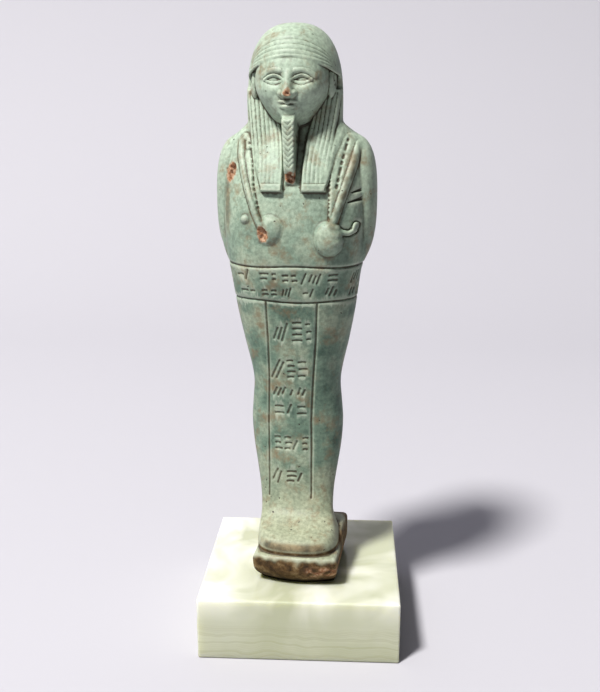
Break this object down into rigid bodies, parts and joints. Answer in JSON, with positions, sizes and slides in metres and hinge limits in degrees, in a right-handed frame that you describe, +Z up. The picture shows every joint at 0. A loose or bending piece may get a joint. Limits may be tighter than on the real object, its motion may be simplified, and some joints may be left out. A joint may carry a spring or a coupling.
{
  "type": "ushabti figurine",
  "caption": "Mummy-shaped funerary figurine of moulded glazed ware with base and back pillar, standing upright on a polished onyx display block.",
  "frame": {"origin": "centre of the onyx block's underside", "axes": "+Z up along the figurine's height, -Y towards the front of the block, +X to the figurine's own left; the figurine is turned 6 degrees clockwise seen from above"},
  "size_m": [0.064, 0.063, 0.1938],
  "materials": {
    "glazed_ware": "matte worn glaze, pale blue-green, with brown earth in the hollows and bare terracotta chips",
    "banded_onyx": "sawn and polished, pale cream-green with cloudy white zones and thin wavy bands"
  },
  "bodies": {
    "root": {"ushabti_figurine": "glazed_ware", "onyx_block": "banded_onyx"}
  },
  "joints": []
}
